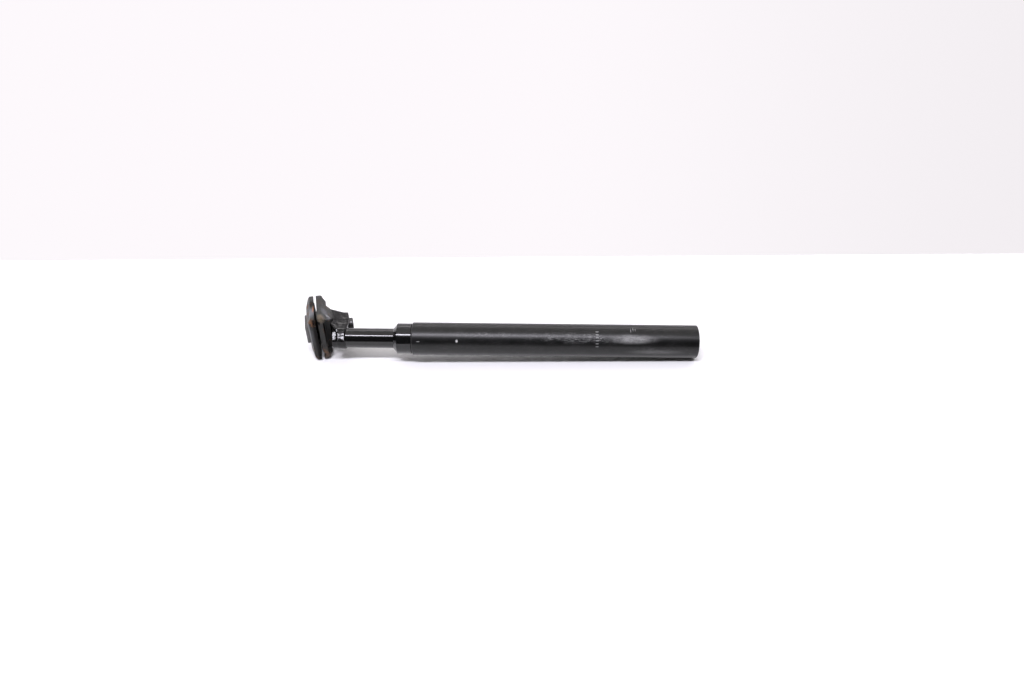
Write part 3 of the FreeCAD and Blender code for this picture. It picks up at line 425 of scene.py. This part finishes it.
def worn_steel(name, level, rust=0.3):
    """Plated steel gone dull, with specks of rust."""
    material, nodes, shader, place = surface(name, metallic=0.85)
    specks = nodes.noise(place, 700, detail=6, rough=0.7)
    fine = nodes.noise(place, 3000, detail=3)
    dull = nodes.blend(nodes.step(fine, 0.3, 0.7), gray(level * 0.7), gray(level))
    rusted = nodes.times(nodes.step(specks, 0.52, 0.66), rust)
    nodes.fill(shader.inputs["Base Color"], nodes.blend(rusted, dull, (0.2, 0.1, 0.045, 1)))
    nodes.fill(shader.inputs["Roughness"], nodes.step(specks, 0.3, 0.7, 0.28, 0.5))
    nodes.fill(shader.inputs["Normal"], nodes.bump(fine, 0.3))
    return material


def mesh_piece(name, points, faces, material, body, smooth=True):
    """A new mesh that rides on a body and takes its finish from a material slot."""
    mesh = bpy.data.meshes.new(name)
    mesh.from_pydata(points, [], faces)
    mesh.update()
    for face in mesh.polygons:
        face.use_smooth = smooth
    piece = bpy.data.objects.new(name, mesh)
    bpy.context.scene.collection.objects.link(piece)
    piece.data.materials.append(material)
    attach(piece, body)
    return piece


def insertion_ticks(material):
    """Six short printed dashes, one above the other, at the minimum insertion plane."""
    points = []
    faces = []
    lift = TUBE_RADIUS + TICK_LIFT
    steps = 3
    for centre in TICK_ANGLES:
        for side in range(steps + 1):
            angle = math.radians(centre + TICK_HALF_ANGLE * (2 * side / steps - 1))
            for x in TICK_ENDS:
                points.append((x, -lift * math.cos(angle), lift * math.sin(angle)))
        first = len(points) - 2 * (steps + 1)
        for side in range(steps):
            corner = first + 2 * side
            faces.append((corner, corner + 1, corner + 3, corner + 2))
    return mesh_piece("insertion_ticks", points, faces, material, "post_tube")


def forged(node, body, material, voxel=0.4 * MM, rounds=4, lumps=0.12 * MM):
    """A forged skin for a CAD node: the same shape with softened edges and a slightly uneven skin."""
    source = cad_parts[node]
    piece = bpy.data.objects.new(node + "_forging", source.data.copy())
    bpy.context.scene.collection.objects.link(piece)
    piece.data.materials.clear()
    piece.data.materials.append(material)
    remesh = piece.modifiers.new("even_skin", "REMESH")
    remesh.mode = "VOXEL"
    remesh.voxel_size = voxel
    remesh.use_smooth_shade = True
    soften = piece.modifiers.new("soft_edges", "SMOOTH")
    soften.factor = 0.5
    soften.iterations = rounds
    clouds = bpy.data.textures.new(node + "_lumps", "CLOUDS")
    clouds.noise_scale = 5 * MM
    uneven = piece.modifiers.new("uneven", "DISPLACE")
    uneven.texture = clouds
    uneven.texture_coords = "LOCAL"
    uneven.strength = lumps
    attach(piece, body)
    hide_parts(node)
    return piece


def squeezed_spring(material):
    """The main spring's coils, on a mesh of their own that rides on the preload stack."""
    coils = bpy.data.objects.new("main_spring_coils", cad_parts["main_spring"].data.copy())
    bpy.context.scene.collection.objects.link(coils)
    coils.data.materials.clear()
    coils.data.materials.append(material)
    split = coils.modifiers.new("sharp_edges", "EDGE_SPLIT")
    split.split_angle = SHARP_ANGLE
    split.use_edge_sharp = False
    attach(coils, "preload_stack")
    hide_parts("main_spring")
    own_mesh(coils)
    return coils


def dress_nodes(finishes):
    for node, material in finishes.items():
        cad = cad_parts[node]
        cad.data.materials.clear()
        cad.data.materials.append(material)


def smooth_nodes():
    """Smooth shading on the CAD pieces, with their sharp edges kept by splitting the normals."""
    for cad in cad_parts.values():
        if cad.hide_render:
            continue
        split = cad.modifiers.new("sharp_edges", "EDGE_SPLIT")
        split.split_angle = SHARP_ANGLE
        split.use_edge_sharp = False


def stage_material(name, colour, lift, mirrored, glow=0.0, band=None):
    """A pale stage surface that keeps its shadows.

    Glow is the light that it gives, lift is added to it for the camera, and mirrored is added
    in the part's gloss. A band is a range of heights that shows as a bright strip in the gloss.
    """
    material, nodes, shader, place = surface(name)
    mottled = nodes.noise(place, 4, detail=2)
    darker = tuple(channel * 0.985 for channel in colour[:3]) + (1,)
    nodes.fill(shader.inputs["Base Color"], nodes.blend(mottled, darker, colour))
    shader.inputs["Roughness"].default_value = 0.6
    shader.inputs["Specular IOR Level"].default_value = 0.2
    path = nodes.add("ShaderNodeLightPath").outputs
    seen = nodes.math("MAXIMUM", path["Is Camera Ray"], path["Is Transmission Ray"])
    shader.inputs["Emission Color"].default_value = colour
    if band is not None:
        height = nodes.add("ShaderNodeSeparateXYZ", inputs={"Vector": place}).outputs["Z"]
        low, high, level = band
        above = nodes.step(height, low, low + STRIP_EDGE)
        below = nodes.step(height, high, high + STRIP_EDGE, 1.0, 0.0)
        strip = nodes.times(above, below)
        mirrored = nodes.math("MULTIPLY_ADD", strip, level, mirrored)
    shine = nodes.times(path["Is Glossy Ray"], mirrored)
    lifted = nodes.math("MULTIPLY_ADD", seen, lift, glow)
    nodes.fill(shader.inputs["Emission Strength"], nodes.math("ADD", shine, lifted))
    return material


def stage_sheet(name, corners, material):
    mesh = bpy.data.meshes.new(name)
    mesh.from_pydata(corners, [], [(0, 1, 2, 3)])
    sheet = bpy.data.objects.new(name, mesh)
    bpy.context.scene.collection.objects.link(sheet)
    sheet.data.materials.append(material)
    return sheet


def table_height(x):
    return REST_Z + TABLE_SLOPE * (x - REST_X)


def add_stage():
    """A table up to a pale wall. The wall lights the post and shows in its gloss, and the camera
    sees past it to the room's backdrop, so that it hides nothing from behind."""
    reach = STAGE_REACH
    white = stage_material("white_table", TABLE_WHITE, lift=0.0, mirrored=0.3)
    wall = stage_material("pale_wall", WALL_PALE, lift=-0.38, mirrored=-0.25, glow=0.45, band=WALL_STRIP)
    left = WALL_Y - WALL_TURN * -reach
    right = WALL_Y - WALL_TURN * reach
    stage_sheet("table", [
        (-reach, -reach, table_height(-reach)),
        (reach, -reach, table_height(reach)),
        (reach, right, table_height(reach)),
        (-reach, left, table_height(-reach)),
    ], white)
    card = stage_sheet("wall", [
        (-reach, left, table_height(-reach) - 0.01),
        (reach, right, table_height(reach) - 0.01),
        (reach, right, WALL_TOP),
        (-reach, left, WALL_TOP),
    ], wall)
    card.visible_camera = False


def add_camera():
    """The camera looks at the post from its front, from above, and with the post a little aslant."""
    elevation = CAMERA_ELEVATION + CAMERA_PITCH
    level_up = Vector((0, math.sin(elevation), math.cos(elevation)))
    across = Vector((1, 0, 0))
    right = across * math.cos(CAMERA_ROLL) + level_up * math.sin(CAMERA_ROLL)
    up = level_up * math.cos(CAMERA_ROLL) - across * math.sin(CAMERA_ROLL)
    back = Vector((0, -math.cos(elevation), math.sin(elevation)))
    place = Vector((
        CAMERA_X,
        -CAMERA_DISTANCE * math.cos(CAMERA_ELEVATION),
        CAMERA_DISTANCE * math.sin(CAMERA_ELEVATION),
    ))
    data = bpy.data.cameras.new("photo_camera")
    data.sensor_width = SENSOR_WIDTH
    data.lens = FOCAL_PIXELS * SENSOR_WIDTH / IMAGE_WIDTH
    data.clip_start = 0.01
    camera = bpy.data.objects.new("photo_camera", data)
    turn = Matrix((right, up, back)).transposed()
    camera.matrix_world = Matrix.Translation(place) @ turn.to_4x4()
    bpy.context.scene.collection.objects.link(camera)
    bpy.context.scene.camera = camera


def add_lamp(name, centre_x, elevation, distance, length, width, watts):
    """A strip lamp along the post, in front of it at an elevation, that shines on the post's axis."""
    data = bpy.data.lights.new(name, "AREA")
    data.shape = "RECTANGLE"
    data.size = length
    data.size_y = width
    data.energy = watts
    data.color = LAMP_COLOUR
    lamp = bpy.data.objects.new(name, data)
    angle = math.radians(elevation)
    lamp.location = (centre_x, -distance * math.cos(angle), distance * math.sin(angle))
    lamp.rotation_euler = (angle - math.pi / 2, 0, 0)
    bpy.context.scene.collection.objects.link(lamp)


def add_light():
    """A long lamp above, a little to the left and front, in a room that is dark behind the camera."""
    add_lamp("key", -0.3, 69, 1.5, 1.1, 0.2, 31)
    world = bpy.data.worlds.new("room")
    bpy.context.scene.world = world
    world.use_nodes = True
    nodes = Nodes(world.node_tree)
    towards = nodes.add("ShaderNodeTexCoord").outputs["Generated"]
    split = nodes.add("ShaderNodeSeparateXYZ", inputs={"Vector": towards}).outputs
    above = nodes.step(split["Z"], 0.75, 0.95)
    behind = nodes.step(split["Y"], -0.05, 0.3)
    bright = nodes.math("MAXIMUM", above, behind)
    level = nodes.math("MULTIPLY_ADD", bright, ROOM_BRIGHT, ROOM_DARK)
    seen = nodes.add("ShaderNodeLightPath").outputs["Is Camera Ray"]
    fading = nodes.step(split["X"], 0.0, 0.75, BACKDROP_LEFT, BACKDROP_RIGHT)
    background = world.node_tree.nodes["Background"]
    nodes.fill(background.inputs["Color"], nodes.blend(seen, ROOM_COLOUR, BACKDROP_COLOUR))
    kept = nodes.times(nodes.math("SUBTRACT", 1.0, seen), level)
    nodes.fill(background.inputs["Strength"], nodes.math("MULTIPLY_ADD", seen, fading, kept))
    bpy.context.scene.view_settings.view_transform = "Standard"


def dress_part():
    tube = tube_material()
    collar = gloss_black("gloss_black_collar", ior=1.46)
    tick_paint = plain("grey_print", gray(0.28), 0.5, wear=0.25)
    rubber = plain("black_rubber", gray(0.015), 0.6, grain=2500)
    polymer = plain("natural_acetal", (0.72, 0.7, 0.64, 1), 0.4)
    dark_polymer = plain("black_polymer", gray(0.03), 0.45)
    amber = plain("amber_urethane", (0.5, 0.22, 0.04, 1), 0.35)
    ground_steel = plain("ground_steel", gray(0.5), 0.22, metallic=1.0)
    spring_steel = plain("oiled_spring_steel", gray(0.12), 0.3, metallic=1.0)
    alloy = plain("turned_alloy", gray(0.6), 0.32, metallic=1.0)
    dress_nodes({
        "outer_tube": tube,
        "collar_nut": collar,
        "collar_gasket": rubber,
        "wiper_seal": rubber,
        "upper_guide": polymer,
        "key_pins": ground_steel,
        "top_out_bumper": amber,
        "stanchion": gloss_black("gloss_black_stanchion", 0.004, 0.08, 1.46),
        "lower_slider": polymer,
        "circlip": ground_steel,
        "upper_spring_seat": dark_polymer,
        "lower_spring_seat": dark_polymer,
        "elastomer_core": amber,
        "preload_spacer": alloy,
        "preload_plug": gloss_black("black_plug", 0.02, 0.25),
        "nut_plate": worn_steel("dull_zinc", 0.11),
        "clamp_bolt": worn_steel("worn_black_oxide", 0.08, 0.15),
        "flat_washer": worn_steel("dull_washer", 0.3),
        "curved_washer": worn_steel("dull_curved_washer", 0.22),
    })
    forged("head", "stanchion_unit", head_material(), rounds=5)
    lower_finish = clamp_material("lower_clamp_forging", 0.13, 0.1, LOWER_CLAMP_PATCHES, *NO_SHADE)
    forged("lower_clamp", "saddle_cradle", lower_finish)
    upper_finish = clamp_material(
        "upper_clamp_forging", 0.41, 0.14, UPPER_CLAMP_PATCHES, *UPPER_CLAMP_SHADE)
    forged("upper_clamp", "clamp_cap", upper_finish)
    squeezed_spring(spring_steel)
    insertion_ticks(tick_paint)
    smooth_nodes()


dress_part()
add_stage()
add_camera()
add_light()
